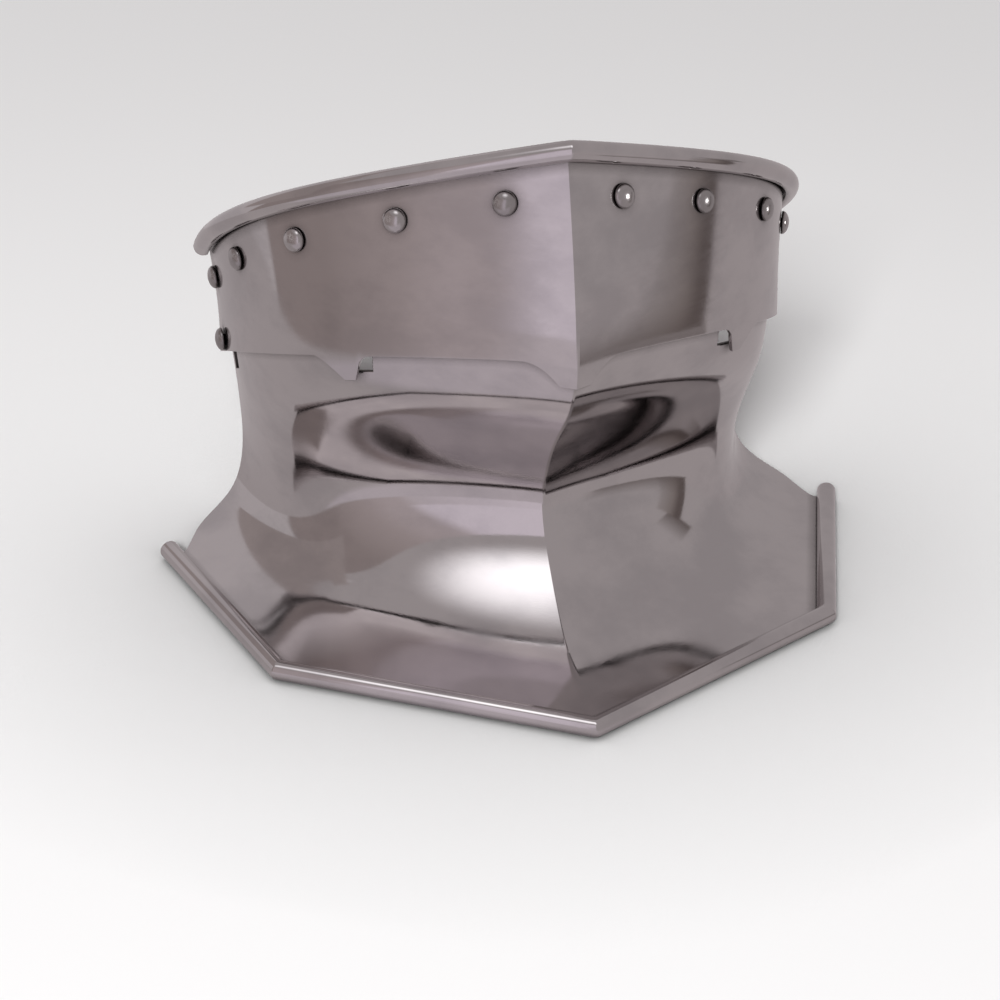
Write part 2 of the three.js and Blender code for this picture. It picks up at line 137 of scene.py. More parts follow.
# %% The level lines
# Each line lies between two measures, at shares of the way out, down and to the side. It leaves
# the keel at the angle sweep and comes to the rear edge at the angle side. Reach and hold say how
# long it keeps those directions, and droop how late it falls in height.
ROW_COLUMNS = ("above", "below", "out", "down", "wide", "sweep", "side", "reach", "hold", "droop")
ROWS = [dict(zip(ROW_COLUMNS, values)) for values in (
    (RIM, CHIN, 0, 0, 0, 23, 91, 0.82, 0.56, 1.02),
    (CHIN, THROAT, 0, 0, 0, 31, 92, 0.81, 0.74, 1.3),
    (CHIN, THROAT, 0.45, 0.42, 0.7, 29, 90, 0.78, 0.68, 1.3),
    (THROAT, EDGE, 0, 0, 0, 24, 82, 0.75, 0.56, 1.2),
    (THROAT, EDGE, 0.29, 0.62, 0.15, 25, 73, 0.72, 0.5, 1),
    (THROAT, EDGE, 0.64, 0.92, 0.54, 27, 71, 0.74, 0.52, 1),
)]
PLAN_SAMPLES = 800


def between(row, size, share):
    return row["above"][size] + (row["below"][size] - row["above"][size]) * row[share]


def bezier(corners, t):
    t = np.asarray(t)[:, None]
    first, second, third, fourth = (np.array(corner) for corner in corners)
    start = (1 - t) ** 3 * first + 3 * (1 - t) ** 2 * t * second
    return start + 3 * (1 - t) * t ** 2 * third + t ** 3 * fourth


def curved_row(row, u):
    """A level line at shares u of its length, from the keel to the rear edge."""
    keel_y = -between(row, "forward", "out")
    wide = between(row, "half_width", "wide")
    back = between(row, "back", "wide")
    sweep = math.radians(row["sweep"])
    side = math.radians(row["side"])
    reach = row["reach"] * wide
    hold = row["hold"] * wide
    corners = [
        (0, keel_y),
        (reach * math.cos(sweep), keel_y + reach * math.sin(sweep)),
        (wide - hold * math.cos(side), back - hold * math.sin(side)),
        (wide, back),
    ]
    samples = np.linspace(0, 1, PLAN_SAMPLES)
    steps = np.linalg.norm(np.diff(bezier(corners, samples), axis=0), axis=1)
    lengths = np.concatenate([[0], np.cumsum(steps)])
    plan = bezier(corners, np.interp(u * lengths[-1], lengths, samples))
    share = np.clip((plan[:, 1] - keel_y) / (back - keel_y), 0, None) ** row["droop"]
    front_height = between(row, "height", "down")
    rear_height = between(row, "rear_height", "down")
    height = front_height + (rear_height - front_height) * share
    return np.column_stack([plan, height])


def edge_points(inset):
    """Point, corner and tip of the five-point edge, moved inwards."""
    point = np.array([0.0, -EDGE["forward"]])
    corner = np.array([CORNER_HALF_SPAN, -CORNER_FORWARD])
    tip = np.array([EDGE["half_width"], 0.0])
    front = (corner - point) / np.linalg.norm(corner - point)
    side = (tip - corner) / np.linalg.norm(tip - corner)
    turn = math.acos(front @ side)
    bisector = np.array([-front[1] - side[1], front[0] + side[0]])
    bisector /= np.linalg.norm(bisector)
    return (
        point + [0, inset / front[0]],
        corner + bisector * inset / math.cos(turn / 2),
        tip - [inset / side[1], 0],
    )


point, corner, tip = edge_points(ROLL_DIAMETER / 2)
front_side = np.linalg.norm(corner - point)
CORNER_U = front_side / (front_side + np.linalg.norm(tip - corner))


def straight_row(inset, u):
    point, corner, tip = edge_points(inset)
    on_front = (u / CORNER_U)[:, None]
    on_side = ((u - CORNER_U) / (1 - CORNER_U))[:, None]
    front = point + (corner - point) * on_front
    side = corner + (tip - corner) * on_side
    plan = np.where(u[:, None] < CORNER_U, front, side)
    return np.column_stack([plan, np.full(len(u), SHEET)])


def level_lines(u):
    """Where the curves at u cross each level line, from the rim to the edge."""
    lines = [curved_row(row, u) for row in ROWS]
    lines.append(straight_row(ROLL_DIAMETER / 2 + LIP_WIDTH, u))
    lines.append(straight_row(ROLL_DIAMETER / 2, u))
    return np.array(lines)


CHIN_ROW = 1
LIP_ROW = len(ROWS)
LAST_ROW = len(ROWS) + 1
print("Level lines:", LAST_ROW + 1, "and the collar turns its corner at", round(CORNER_U, 3))

# %% [markdown]
# A spline through the level lines needs its bending at each line, which is a small set of linear
# equations. NumPy solves them for all curves at once. The spacing of the lines is uneven, so the
# spline is timed by the square root of their distances, which keeps it from swinging wide.

# %% The surface by formula
def spline_parts(u):
    knots = level_lines(u)
    spans = np.sqrt(np.linalg.norm(np.diff(knots, axis=0), axis=2))
    count = len(knots)
    system = np.zeros((len(u), count, count))
    target = np.zeros((len(u), count, 3))
    system[:, 0, 0] = 1
    system[:, -1, -1] = 1
    for k in range(1, count - 1):
        system[:, k, k - 1] = spans[k - 1]
        system[:, k, k] = 2 * (spans[k - 1] + spans[k])
        system[:, k, k + 1] = spans[k]
        rise_after = (knots[k + 1] - knots[k]) / spans[k][:, None]
        rise_before = (knots[k] - knots[k - 1]) / spans[k - 1][:, None]
        target[:, k] = 6 * (rise_after - rise_before)
    bend = np.linalg.solve(system, target).transpose(1, 0, 2)
    return knots, spans, bend


def on_surface(parts, t):
    """Points at t, which counts level lines from the rim. t has a row for each place down."""
    knots, spans, bend = parts
    k = np.clip(t.astype(int), 0, LAST_ROW - 1)
    column = np.broadcast_to(np.arange(t.shape[1]), t.shape)
    span = spans[k, column][..., None]
    right_share = (t - k)[..., None]
    left_share = 1 - right_share
    straight = left_share * knots[k, column] + right_share * knots[k + 1, column]
    bent = (left_share ** 3 - left_share) * bend[k, column]
    bent += (right_share ** 3 - right_share) * bend[k + 1, column]
    return straight + bent * span ** 2 / 6


SAMPLES_A_ROW = 48


def t_at_length(parts, length):
    """The place t at which each curve has run a length in millimetres from the rim."""
    columns = length.shape[1]
    samples = np.linspace(0, LAST_ROW, SAMPLES_A_ROW * LAST_ROW + 1)
    points = on_surface(parts, np.repeat(samples[:, None], columns, axis=1))
    run = np.cumsum(np.linalg.norm(np.diff(points, axis=0), axis=2), axis=0)
    run = np.vstack([np.zeros((1, columns)), run])
    places = [np.interp(length[:, i], run[:, i], samples) for i in range(columns)]
    return np.array(places).T, run


keel_run = t_at_length(spline_parts(np.zeros(1)), np.zeros((1, 1)))[1][-1, 0]
print("From the rim to the edge along the keel:", round(float(keel_run), 1), "mm")

# %% [markdown]
# ## Directions on the surface
# A sheet needs to know at each place which way is out, down and along. A mesh gives only averaged
# normals, so the directions are taken from tiny steps on the formula. Where two flat sides meet, as
# at the keel and at the collar's corners, the points are slid into the plane between the two sides,
# like the mitered corner of a picture frame.

# %% Directions and mitered offsets
def unit(vectors):
    return vectors / np.linalg.norm(vectors, axis=-1, keepdims=True)


NUDGE = 1e-4


def surface_frames(u, t):
    """Point, directions and miter plane at each place, for offsets from the surface."""
    here = spline_parts(u)
    at = on_surface(here, t)
    step_on = on_surface(spline_parts(np.minimum(u + NUDGE, 1)), t) - at
    step_back = at - on_surface(spline_parts(np.maximum(u - NUDGE, 0)), t)
    step_on[:, u >= 1] = step_back[:, u >= 1]
    along = unit(step_on)
    mirror = along[:, u <= 0] * [1, -1, -1]
    step_back[:, u <= 0] = mirror
    before = unit(step_back)
    fall = on_surface(here, t + NUDGE) - on_surface(here, t - NUDGE)
    out = unit(np.cross(fall, along))
    out[t > LIP_ROW - NUDGE] = [0, 0, 1]
    return {
        "at": at,
        "along": along,
        "out": out,
        "down": np.cross(along, out),
        "miter": unit(before + along),
    }


def mitered(frames, offset):
    """Points at an offset, slid along the row into the plane where two sides meet."""
    across = (frames["along"] * frames["miter"]).sum(-1, keepdims=True)
    slide = (offset * frames["miter"]).sum(-1, keepdims=True) / across
    return frames["at"] + offset - frames["along"] * slide


keel_frame = surface_frames(np.zeros(1), np.zeros((1, 1)))
print("Out of the keel at the rim:", keel_frame["out"][0, 0].round(2).tolist())

# %% [markdown]
# ## The chin plate's lower edge
# The edge is cut to a flat cusp under the keel and to a small one on each side, beside a slot. It
# could be cut out with booleans, but cuts leave thin triangles that spoil a mirror finish. Here the
# mesh is laid out so that its rows and columns run along every edge, and nothing has to be cut.

# %% The seam and its cusps
SEAM_SAMPLES = 61
seam_line = curved_row(ROWS[CHIN_ROW], np.linspace(0, 1, SEAM_SAMPLES))
SEAM_LENGTH = np.linalg.norm(np.diff(seam_line, axis=0), axis=1).sum()
KEEL_TIP_END = KEEL_CUSP["tip"] / 2
SIDE_TIP_START = FRONT_SLOT["from_keel"] + SIDE_CUSP["inner_flank"]
SIDE_TIP_END = SIDE_TIP_START + SIDE_CUSP["tip"]
SIDE_CUSP_FOOT = SIDE_TIP_END + SIDE_CUSP["outer_flank"]


def cusp_drop(distance):
    """How far the chin plate reaches below its plain seam, at distances from the keel."""
    keel_share = (distance - KEEL_TIP_END) / (KEEL_CUSP["foot"] - KEEL_TIP_END)
    keel_drop = KEEL_CUSP["depth"] * (1 - np.clip(keel_share, 0, 1)) ** 2
    inner_share = np.clip((distance - FRONT_SLOT["from_keel"]) / SIDE_CUSP["inner_flank"], 0, 1)
    outer_share = np.clip((distance - SIDE_TIP_END) / SIDE_CUSP["outer_flank"], 0, 1)
    inner_drop = 1 - np.sqrt(1 - inner_share ** 2)
    outer_drop = (1 - outer_share) ** SIDE_CUSP["hollow"]
    return keel_drop + SIDE_CUSP["depth"] * np.minimum(inner_drop, outer_drop)


def stand_off(u, length, seam):
    """How far the chin plate stands off the throat plate, beyond the clearance."""
    share = np.clip(1 - (seam - length) / STAND_RUN, 0, None)
    return (STAND_FRONT + (STAND_SIDE - STAND_FRONT) * u ** 2) * share ** 2


print("The keel cusp reaches down", cusp_drop(np.zeros(1))[0], "mm")

# %% [markdown]
# The mesh columns are spread evenly from the keel to the rear edge, but one has to fall on every
# corner of a cusp or a slot. So each stretch between two corners is divided by itself.

# %% The columns of the mesh
COLUMN_STEP = 1.7


def column_places():
    """Distances from the keel for the mesh columns, with one on every corner."""
    rear_slot_start = SEAM_LENGTH - REAR_SLOT["from_edge"] - SLOT_WIDTH
    marks = sorted([
        0, KEEL_TIP_END, KEEL_CUSP["foot"], FRONT_SLOT["from_keel"],
        SIDE_TIP_START, SIDE_TIP_END, FRONT_SLOT["from_keel"] + SLOT_WIDTH, SIDE_CUSP_FOOT,
        CORNER_U * SEAM_LENGTH, rear_slot_start, rear_slot_start + SLOT_WIDTH, SEAM_LENGTH,
    ])
    places = [np.array([0.0])]
    for start, end in zip(marks, marks[1:]):
        count = max(1, round((end - start) / COLUMN_STEP))
        places.append(np.linspace(start, end, count + 1)[1:])
    return np.concatenate(places)


DISTANCES = column_places()
COLUMNS = np.minimum(DISTANCES / SEAM_LENGTH, 1)
column_parts = spline_parts(COLUMNS)
_, column_run = t_at_length(column_parts, np.zeros((1, len(COLUMNS))))
SEAM = column_run[SAMPLES_A_ROW * CHIN_ROW] - SEAM_RISE
LIP = column_run[SAMPLES_A_ROW * LIP_ROW]
print("Columns on one side:", len(COLUMNS), "seam length:", round(float(SEAM_LENGTH), 1), "mm")

# %% [markdown]
# ## From surface to sheet
# Sheet steel has two faces and an edge. Blender's Solidify modifier could thicken a surface, but
# it can't turn a rolled edge round a wire. So both faces are laid out here: straight offsets for
# the sheet, and an arc of offsets for each roll.

# %% Lay out the two faces
ROLL_STEPS = 30
ROW_STEP = 1.7
SEAM_BAND_ROWS = 7
ROWS_UNDER_SLOTS = 3
LIP_STRIPS = 3


def sheet_faces(frames, outer_offset):
    outer = mitered(frames, frames["out"] * outer_offset[..., None])
    inner = mitered(frames, frames["out"] * (outer_offset - SHEET)[..., None])
    return outer, inner


def roll_faces(frames, outer_offset, beyond):
    """Rows of an edge rolled outwards, from the sheet round to the end of the curl."""
    centre = (outer_offset - SHEET / 2 + ROLL_RADIUS)[..., None]
    outer, inner = [], []
    for step in range(1, ROLL_STEPS + 1):
        angle = math.radians(ROLL_TURN_DEGREES * step / ROLL_STEPS)
        for radius, rows in ((ROLL_RADIUS - SHEET / 2, outer), (ROLL_RADIUS + SHEET / 2, inner)):
            lift = frames["out"] * (centre - radius * math.cos(angle))
            rows.append(mitered(frames, lift + beyond * radius * math.sin(angle))[0])
    return np.array(outer), np.array(inner)


def even_rows(length):
    """Shares of a length for rows that stand about a row step apart."""
    return np.linspace(0, 1, max(2, round(length / ROW_STEP)) + 1)


def chin_faces():
    share = even_rows(SEAM.max() - SEAM_BAND)[:, None]
    plain = share * (SEAM - SEAM_BAND)
    band = np.linspace(0, 1, SEAM_BAND_ROWS + 1)[1:, None]
    last = SEAM - SEAM_BAND + band * (SEAM_BAND + cusp_drop(DISTANCES))
    length = np.vstack([plain, last])
    places, _ = t_at_length(column_parts, length)
    offset = PLATE_CLEARANCE + SHEET + stand_off(COLUMNS, length, SEAM)
    outer, inner = sheet_faces(surface_frames(COLUMNS, places), offset)
    rim = surface_frames(COLUMNS, places[:1])
    roll_outer, roll_inner = roll_faces(rim, offset[:1], -rim["down"])
    return np.vstack([roll_outer[::-1], outer]), np.vstack([roll_inner[::-1], inner])


def throat_faces():
    top = np.arange(-OVERLAP, REAR_SLOT["below_seam"] + ROWS_UNDER_SLOTS)[:, None] + SEAM
    share = even_rows((LIP - top[-1]).max())[1:-1, None]
    fall = top[-1] + share * (LIP - top[-1])
    places, _ = t_at_length(column_parts, np.vstack([top, fall]))
    lip = np.linspace(LIP_ROW, LAST_ROW, LIP_STRIPS + 1)[:, None]
    flat = np.repeat(lip, len(COLUMNS), axis=1)
    places = np.vstack([places, flat])
    flush = np.zeros(places.shape)
    outer, inner = sheet_faces(surface_frames(COLUMNS, places), flush)
    edge = surface_frames(COLUMNS, places[-1:])
    roll_outer, roll_inner = roll_faces(edge, flush[-1:], edge["down"])
    return np.vstack([outer, roll_outer]), np.vstack([inner, roll_inner]), len(top)


chin_outer, chin_inner = chin_faces()
throat_outer, throat_inner, throat_top_rows = throat_faces()
print("Chin plate grid:", chin_outer.shape[:2], "throat plate grid:", throat_outer.shape[:2])

# %% [markdown]
# ## The slots
# The throat plate has four slots just under the chin plate. In the grid they are simply cells that
# are left out, so their corners stay square and the steel round them stays smooth.

# %% Leave out the cells of the slots
def slot_cells():
    """True for each cell of one side of the throat plate that is steel."""
    steel = np.ones((throat_outer.shape[0] - 1, len(COLUMNS) - 1), dtype=bool)
    middles = (DISTANCES[1:] + DISTANCES[:-1]) / 2
    heights = np.full(steel.shape[0], np.inf)
    heights[:throat_top_rows - 1] = np.arange(throat_top_rows - 1) - OVERLAP + 0.5
    rear_start = SEAM_LENGTH - REAR_SLOT["from_edge"] - SLOT_WIDTH
    for start, below in ((FRONT_SLOT["from_keel"], FRONT_SLOT["below_seam"]),
                         (rear_start, REAR_SLOT["below_seam"])):
        across = (middles > start) & (middles < start + SLOT_WIDTH)
        down = (heights > below - SLOT_HEIGHT) & (heights < below)
        steel[np.ix_(down, across)] = False
    return steel


throat_steel = slot_cells()
chin_steel = np.ones((chin_outer.shape[0] - 1, len(COLUMNS) - 1), dtype=bool)
print("Cells left out for slots on one side:", int((~throat_steel).sum()))

# %% [markdown]
# ## Building a plate
# One function turns the two faces into a closed mesh. It mirrors the side, joins the faces with
# walls wherever steel ends, and marks the keel and the cut edges. A Bevel modifier then softens
# those marks. Real edges are never perfectly sharp, and the thin bright line that a bevel gives
# them is what makes steel look like steel. The inside of such a plate is seldom polished, so the
# function is also told which rows are dull inside. The walls of the slots get the same dull, dark
# steel, as painted shade inside the slots.

# %% The plate builder
# From the line between the rear tips to the middle of the box, in millimetres
SHIFT_BACK = 50.467
KEEL_BEVEL = 0.8
EDGE_BEVEL = 0.35
BEVEL_SEGMENTS = 3
SHARP_DEGREES = 22
ON_KEEL_METRES = 1e-7


def both_sides(points):
    """The grid of one side with its mirror image, from rear edge to rear edge, in metres."""
    points = points.copy()
    points[:, 0, 0] = 0
    mirror = points[:, :0:-1] * [-1, 1, 1]
    whole = np.concatenate([mirror, points], axis=1)
    return (whole + [0, SHIFT_BACK, 0]) * MM


def plate_faces(steel, rows, columns, dull_rows):
    """Quads of both faces and of every wall where steel ends, and whether each is dull."""
    outer = np.arange(rows * columns).reshape(rows, columns)
    inner = outer + rows * columns
    padded = np.pad(steel, 1)
    faces, dull = [], []
    for i, j in np.argwhere(steel):
        a, b, c, d = (i, j), (i + 1, j), (i + 1, j + 1), (i, j + 1)
        faces.append((outer[a], outer[b], outer[c], outer[d]))
        faces.append((inner[a], inner[d], inner[c], inner[b]))
        dull += [False, i in dull_rows]
        for row, column, start, end in (
            (i, j + 1, d, a), (i + 2, j + 1, b, c), (i + 1, j, a, b), (i + 1, j + 2, c, d),
        ):
            if not padded[row, column]:
                faces.append((outer[end], outer[start], inner[start], inner[end]))
                # Walls inside the grid are the slots' walls: dull, dark steel as painted shade in the
                # slots
                dull.append(0 < row < rows and 0 < column < columns)
    return [tuple(int(corner) for corner in face) for face in faces], dull


def build_plate(name, outer, inner, steel, dull_rows):
    outer, inner = both_sides(outer), both_sides(inner)
    steel = np.concatenate([steel[:, ::-1], steel], axis=1)
    rows, columns = outer.shape[:2]
    points = np.concatenate([outer.reshape(-1, 3), inner.reshape(-1, 3)])
    faces, dull = plate_faces(steel, rows, columns, dull_rows)
    mesh = bpy.data.meshes.new(name)
    mesh.from_pydata(points.tolist(), [], faces)
    bm = bmesh.new()
    bm.from_mesh(mesh)
    for face, is_dull in zip(bm.faces, dull):
        face.material_index = int(is_dull)
    bmesh.ops.delete(bm, geom=[v for v in bm.verts if not v.link_faces], context="VERTS")
    weight = bm.edges.layers.float.new("bevel_weight_edge")
    for edge in bm.edges:
        if len(edge.link_faces) != 2 or edge.calc_face_angle() < math.radians(SHARP_DEGREES):
            continue
        on_keel = all(abs(vert.co.x) < ON_KEEL_METRES for vert in edge.verts)
        edge[weight] = 1 if on_keel else EDGE_BEVEL / KEEL_BEVEL
    bm.to_mesh(mesh)
    bm.free()
    plate = bpy.data.objects.new(name, mesh)
    scene.collection.objects.link(plate)
    mesh.shade_smooth()
    bevel = plate.modifiers.new("soft edges", "BEVEL")
    bevel.limit_method = "WEIGHT"
    bevel.width = KEEL_BEVEL * MM
    bevel.segments = BEVEL_SEGMENTS
    bevel.use_clamp_overlap = False
    bevel.harden_normals = True
    print(name, "has", len(mesh.polygons), "faces")
    return plate


# %% Build both plates
# Rolls are bright all round, and the polish runs on over a few rows inside
CHIN_BRIGHT_ROWS = 3
THROAT_BRIGHT_ROWS = 4
CHIN_DULL_ROWS = range(ROLL_STEPS + CHIN_BRIGHT_ROWS, len(chin_steel))
THROAT_DULL_ROWS = range(len(throat_steel) - ROLL_STEPS - THROAT_BRIGHT_ROWS)
chin_plate = build_plate("polished_chin_plate", chin_outer, chin_inner, chin_steel, CHIN_DULL_ROWS)
throat_plate = build_plate(
    "polished_throat_plate", throat_outer, throat_inner, throat_steel, THROAT_DULL_ROWS)
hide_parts("chin_plate")
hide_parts("throat_plate")
for plate in (chin_plate, throat_plate):
    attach(plate, "root")

# %% [markdown]
# ## The rivets
# Ten dome rivets run under the rim and one on each side joins the plates. A sphere cut in half
# would look too tall and too clean. A real head is set with a hollow punch, which leaves a low dome
# on a short rim. So each rivet is turned from a profile, like work on a lathe.

# %% Where the rivets go
# Sizes in millimetres
RIVET = {"head": 9, "height": 3, "rim": 0.4, "shank": 4, "tail": 7, "tail_height": 1.2, "gap": 0.3}
RIM_RIVET_DROP = 14.5
RIM_RIVET_FIRST = 24
RIM_RIVET_LAST_FROM_EDGE = 8
RIM_RIVET_SHARES = (0, 0.27, 0.54, 0.77, 1)
SIDE_RIVET_FROM_EDGE = 14
SIDE_RIVET_ABOVE_SEAM = 5


def chin_face(u, length, seam):
    """The chin plate's outer face at one place, its sheet stack and the surface's way out."""
    u = np.array([u])
    length = np.array([[length]])
    places, _ = t_at_length(spline_parts(u), length)
    frames = surface_frames(u, places)
    stand = stand_off(u, length, seam)
    offset = PLATE_CLEARANCE + SHEET + stand
    face = frames["at"] + frames["out"] * offset[..., None]
    return face[0, 0], frames["out"][0, 0], float(stand[0, 0])


def chin_out(u, length, seam):
    """The direction out of the chin plate's face, from its slopes down and along."""
    down = chin_face(u, length + 1, seam)[0] - chin_face(u, length - 1, seam)[0]
    along = chin_face(u + NUDGE, length, seam)[0] - chin_face(u - NUDGE, length, seam)[0]
    return unit(np.cross(down, along))


def rivet_places():
    places = []
    last = SEAM_LENGTH - RIM_RIVET_LAST_FROM_EDGE
    for number, share in enumerate(RIM_RIVET_SHARES, start=1):
        u = (RIM_RIVET_FIRST + (last - RIM_RIVET_FIRST) * share) / SEAM_LENGTH
        seam = float(np.interp(u, COLUMNS, SEAM))
        seat = chin_face(u, RIM_RIVET_DROP, seam)[0]
        out = chin_out(u, RIM_RIVET_DROP, seam)
        places.append({"name": "rim_rivet", "end": f"_{number}", "seat": seat, "out": out,
                       "lean": 0, "stack": SHEET})
    u = 1 - SIDE_RIVET_FROM_EDGE / SEAM_LENGTH
    seam = float(np.interp(u, COLUMNS, SEAM))
    length = seam - SIDE_RIVET_ABOVE_SEAM
    seat, surface_out, stand = chin_face(u, length, seam)
    out = chin_out(u, length, seam)
    lean = math.acos(min(1, float(out @ surface_out))) / 2
    places.append({"name": "side_rivet", "end": "", "seat": seat, "out": unit(out + surface_out),
                   "lean": lean, "stack": 2 * SHEET + PLATE_CLEARANCE + stand})
    return places


RIVET_PLACES = rivet_places()
print("Rivets on one side:", len(RIVET_PLACES))

# %% Turn the rivets
RIVET_SIDES = 48
DOME_STEPS = 14
TAIL_STEPS = 4
WELD_DISTANCE = 0.01


def rivet_profile(stack, lean):
    """Radius and height of a rivet, from the middle of its tail to the top of its dome."""
    head, tail = RIVET["head"] / 2, RIVET["tail"] / 2
    base = RIVET["gap"] + head * math.sin(lean)
    tail_top = -stack - RIVET["gap"] - tail * math.sin(lean)
    profile = [(0, tail_top - RIVET["tail_height"])]
    for step in range(TAIL_STEPS + 1):
        angle = math.pi * step / TAIL_STEPS - math.pi / 2
        ease = RIVET["tail_height"] / 2
        profile.append((
            tail - ease + ease * math.cos(angle),
            tail_top - ease + ease * math.sin(angle),
        ))
    profile += [(RIVET["shank"] / 2, tail_top), (RIVET["shank"] / 2, base)]
    profile += [(head - RIVET["rim"], base), (head - RIVET["rim"] / 4, base + RIVET["rim"] / 4)]
    for step in range(DOME_STEPS):
        angle = math.pi / 2 * step / DOME_STEPS
        rise = (RIVET["height"] - RIVET["rim"]) * math.sin(angle)
        profile.append((head * math.cos(angle), base + RIVET["rim"] + rise))
    profile.append((0, base + RIVET["height"]))
    return profile


def build_rivet(place, side):
    name = f"domed_{place['name']}_{side}{place['end']}"
    bm = bmesh.new()
    profile = [bm.verts.new((radius * MM, 0, height * MM))
               for radius, height in rivet_profile(place["stack"], place["lean"])]
    edges = [bm.edges.new(pair) for pair in zip(profile, profile[1:])]
    bmesh.ops.spin(bm, geom=profile + edges, cent=(0, 0, 0), axis=(0, 0, 1),
                   angle=math.tau, steps=RIVET_SIDES, use_duplicate=False)
    bmesh.ops.remove_doubles(bm, verts=bm.verts, dist=WELD_DISTANCE * MM)
    bmesh.ops.recalc_face_normals(bm, faces=bm.faces)
    flip = np.array([-1 if side == "left" else 1, 1, 1])
    out = Vector(place["out"] * flip)
    seat = Vector((place["seat"] + [0, SHIFT_BACK, 0]) * flip * MM)
    bm.transform(Matrix.Translation(seat) @ out.to_track_quat("Z", "Y").to_matrix().to_4x4())
    mesh = bpy.data.meshes.new(name)
    bm.to_mesh(mesh)
    bm.free()
    mesh.shade_smooth()
    rivet = bpy.data.objects.new(name, mesh)
    scene.collection.objects.link(rivet)
    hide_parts(f"{place['name']}_{side}{place['end']}")
    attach(rivet, "root")
    return rivet


rivets = [build_rivet(place, side) for side in ("left", "right") for place in RIVET_PLACES]
print("Rivets turned:", len(rivets), "with", len(rivets[0].data.polygons), "faces each")

# %% [markdown]
# ## Nodes with names
# A material is a net of nodes. It could be clicked together in Blender's editor, but a script can
# say in words what each node is for. Small helpers add a socket, a node with its label, and a link.
# The others make what comes again: noise, a ramp with a soft start and end, a product with a sum,
# and a mix of two shaders.

# %% Helpers for nodes
NOISE_ROUGHNESS = 0.6


def add_socket(group, name, direction, kind, value=None):
    socket = group.interface.new_socket(name=name, in_out=direction, socket_type=kind)
    if value is not None:
        socket.default_value = value


def add_node(tree, kind, label="", **settings):
    node = tree.nodes.new(kind)
    node.label = label
    for name, value in settings.items():
        setattr(node, name, value)
    return node


def link(tree, source, target):
    tree.links.new(source, target)


def scaled_noise(tree, coordinates, label, scale, detail, stretch):
    """Noise over the object in metres, stretched by direction."""
    mapping = add_node(tree, "ShaderNodeMapping", f"{label} stretch")
    mapping.inputs["Scale"].default_value = stretch
    noise = add_node(tree, "ShaderNodeTexNoise", label)
    noise.inputs["Scale"].default_value = scale
    noise.inputs["Detail"].default_value = detail
    noise.inputs["Roughness"].default_value = NOISE_ROUGHNESS
    link(tree, coordinates, mapping.inputs["Vector"])
    link(tree, mapping.outputs["Vector"], noise.inputs["Vector"])
    return noise.outputs["Fac"]


def ramp(tree, value, label, low, high, out_low, out_high):
    """Maps a value from one range to another, with a soft start and end."""
    node = add_node(tree, "ShaderNodeMapRange", label, interpolation_type="SMOOTHSTEP")
    for name, number in (("From Min", low), ("From Max", high)):
        node.inputs[name].default_value = number
    for name, number in (("To Min", out_low), ("To Max", out_high)):
        if hasattr(number, "is_linked"):
            link(tree, number, node.inputs[name])
        else:
            node.inputs[name].default_value = number
    link(tree, value, node.inputs["Value"])
    return node.outputs["Result"]


def times_plus(tree, label, value, factor, added):
    """A value times a factor, plus another value."""
    node = add_node(tree, "ShaderNodeMath", label, operation="MULTIPLY_ADD")
    link(tree, value, node.inputs[0])
    node.inputs[1].default_value = factor
    link(tree, added, node.inputs[2])
    return node.outputs[0]


def mixed(tree, label, share, first, second):
    """One shader where the share is 0, another where it is 1."""
    mix = add_node(tree, "ShaderNodeMixShader", label)
    link(tree, share, mix.inputs["Fac"])
    link(tree, first, mix.inputs[1])
    link(tree, second, mix.inputs[2])
    return mix.outputs["Shader"]


HELPERS = (add_socket, add_node, link, scaled_noise, ramp, times_plus, mixed)
print("Helpers:", [helper.__name__ for helper in HELPERS])

# %% [markdown]
# ## The finish
# The plates are buffed, not chromed: the steel reflects softly, with very fine scratches and with
# faint cloudy patches where the wheel pressed harder. Where a plate meets a rivet or another plate,
# the colour is painted darker: partly old polish and grime, partly painted shade in the crevice. One
# flat roughness would look like plastic foil. A group of nodes makes the clouds, scratches and the
# painted shade and grime once, and three steels use it with their own values. It gives out a
# colour, a roughness and a height, and the shader stays in the material.

# %% The buffed finish as a node group
# Noise is given by its scale, its detail and its stretch along x, y and z
CLOUDS = (22, 5, (1, 1, 1.6))
BUFFING_MARKS = (90, 3, (1, 1, 7))
FINE_SCRATCHES = (420, 2, (1, 1, 9))
PATCH_RANGE = (0.38, 0.66)
MARKS_IN_WEAR = 0.55
WEAR_RANGE = (0.55, 1.0)
# How closed a place must be to get painted shade and grime
SHADE_AND_GRIME_RANGE = (0.45, 0.88)
GRIME_ROUGHNESS = 0.3
MARKS_IN_HEIGHT = 0.7


def steel_colour(group, inputs, clouds, shade_and_grime):
    """Bright steel with cloudy patches, and over both the dark of grime and painted shade in closed
    places.
    """
    patches = ramp(group, clouds, "patches", *PATCH_RANGE, 0, 1)
    blend = add_node(group, "ShaderNodeMix", "cloudy colour", data_type="RGBA")
    link(group, patches, blend.inputs["Factor"])
    link(group, inputs.outputs["Bright Steel"], blend.inputs["A"])
    link(group, inputs.outputs["Cloudy Steel"], blend.inputs["B"])
    # Closed places are mixed towards a dark colour, as grime and as painted shade
    shaded_and_dirty = add_node(group, "ShaderNodeMix", "colour with grime", data_type="RGBA")
    link(group, shade_and_grime, shaded_and_dirty.inputs["Factor"])
    link(group, blend.outputs["Result"], shaded_and_dirty.inputs["A"])
    link(group, inputs.outputs["Grime Color"], shaded_and_dirty.inputs["B"])
    return shaded_and_dirty.outputs["Result"]


